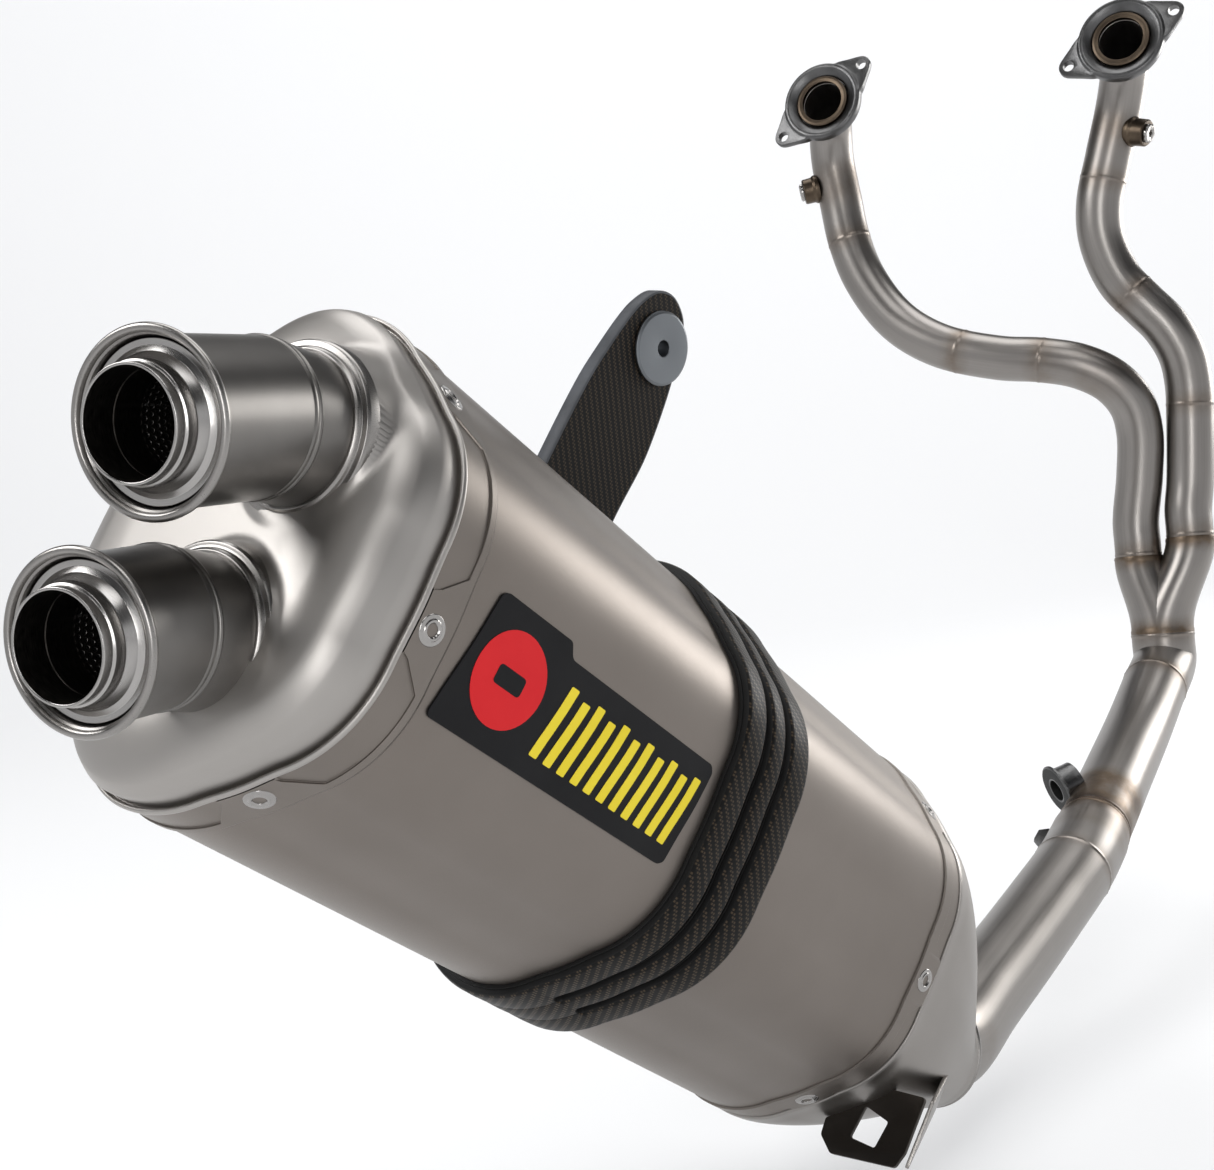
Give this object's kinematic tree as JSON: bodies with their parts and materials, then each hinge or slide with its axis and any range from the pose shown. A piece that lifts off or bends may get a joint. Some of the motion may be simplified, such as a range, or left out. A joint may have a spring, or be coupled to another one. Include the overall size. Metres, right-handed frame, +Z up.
{
  "type": "motorcycle exhaust system",
  "caption": "Hexagonal muffler with two rear outlets and a carbon clamp and hanger, slip-jointed to a link pipe that a collector feeds from two curved header pipes.",
  "frame": {"origin": "on the axis of the hanger bolt, 2.5 mm inside the outer face of the hanger bush, where the muffler bolts to the vehicle", "axes": "vehicle frame: +Y forwards along the vehicle, against the direction in which the outlets point; +Z up; +X to the vehicle's right, the muffler's outboard side"},
  "size_m": [0.3617, 1.1074, 0.7084],
  "materials": {
    "titanium_satin": "bead-blasted titanium sheet, warm grey, fine satin grain",
    "titanium_bright": "satin-brushed titanium, polished along its edges",
    "polished_steel": "turned and polished",
    "tube": "drawn titanium tube, satin, with heat tint at the welds",
    "cast_flange": "cast and machined, matt grey",
    "fastener": "plated steel",
    "carbon": "woven carbon fibre twill under clear resin",
    "rubber": "matt black silicone",
    "alloy": "clear anodised, slightly blue",
    "dark_bracket": "dark coated steel",
    "label": "black anodised plate with a plain red and yellow pattern",
    "perforated": "perforated stainless tube",
    "wool": "long-fibre silica packing"
  },
  "bodies": {
    "muffler": {"muffler_sleeve": "titanium_satin", "exit_band": "titanium_satin", "inlet_band": "titanium_satin", "rivet_exit_1": "fastener", "rivet_exit_2": "fastener", "rivet_exit_3": "fastener", "rivet_exit_4": "fastener", "rivet_exit_5": "fastener", "rivet_exit_6": "fastener", "rivet_inlet_1": "fastener", "rivet_inlet_2": "fastener", "rivet_inlet_3": "fastener", "rivet_inlet_4": "fastener", "rivet_inlet_5": "fastener", "rivet_inlet_6": "fastener", "exit_cap": "titanium_bright", "outlet_neck_upper": "titanium_bright", "outlet_neck_lower": "titanium_bright", "outlet_sleeve_upper": "titanium_bright", "outlet_sleeve_lower": "titanium_bright", "inlet_cap": "titanium_bright", "inlet_stub": "titanium_bright", "inlet_collar": "polished_steel", "perforated_core": "perforated", "baffle_plate": "perforated", "packing_wool": "wool", "label_plate": "label", "clamp_liner": "rubber", "clamp_band": "carbon", "hanger_arm": "carbon", "hanger_bush": "alloy", "hanger_bush_flange": "alloy", "clamp_bolt_1": "fastener", "clamp_bolt_2": "fastener", "clamp_bolt_3": "fastener", "clamp_bolt_4": "fastener", "lower_bracket": "dark_bracket", "bracket_gusset": "titanium_bright"},
    "damper_upper_body": {"damper_upper": "polished_steel", "damper_screw_upper": "fastener"},
    "damper_lower_body": {"damper_lower": "polished_steel", "damper_screw_lower": "fastener"},
    "slip_sleeve": {"slip_seal": "tube"},
    "header": {"link_pipe": "tube", "mid_pipe": "tube", "collector": "tube", "primary_left": "tube", "primary_right": "tube", "port_ferrule_left": "cast_flange", "port_ferrule_right": "cast_flange", "lambda_boss_left": "cast_flange", "lambda_boss_right": "cast_flange", "lambda_plug_left": "fastener", "lambda_plug_right": "fastener", "mid_mount_eye": "cast_flange", "link_tab": "cast_flange"},
    "flange_left": {"port_flange_left": "cast_flange"},
    "flange_right": {"port_flange_right": "cast_flange"}
  },
  "joints": [
    {"name": "damper_upper_pull", "type": "slide", "parent": "muffler", "child": "damper_upper_body", "axis": [0.0003, -1, -0.0003], "range_m": [0, 0.1]},
    {"name": "damper_lower_pull", "type": "slide", "parent": "muffler", "child": "damper_lower_body", "axis": [0.0003, -1, -0.0003], "range_m": [0, 0.08]},
    {"name": "link_swivel", "type": "hinge", "parent": "muffler", "child": "slip_sleeve", "pos_m": [0.09774, 0.03905, -0.41327], "axis": [0.2709, 0.9118, -0.3087], "range_deg": [-3, 3]},
    {"name": "header_slip", "type": "slide", "parent": "slip_sleeve", "child": "header", "axis": [0.2709, 0.9118, -0.3087], "range_m": [0, 0.03]},
    {"name": "flange_left_swivel", "type": "hinge", "parent": "header", "child": "flange_left", "pos_m": [-0.0729, 0.575, 0.2298], "axis": [0, 0.9659, -0.259], "range_deg": [-20, 20]},
    {"name": "flange_right_swivel", "type": "hinge", "parent": "header", "child": "flange_right", "pos_m": [0.1807, 0.575, 0.2289], "axis": [0, 0.9659, -0.259], "range_deg": [-20, 20]}
  ]
}
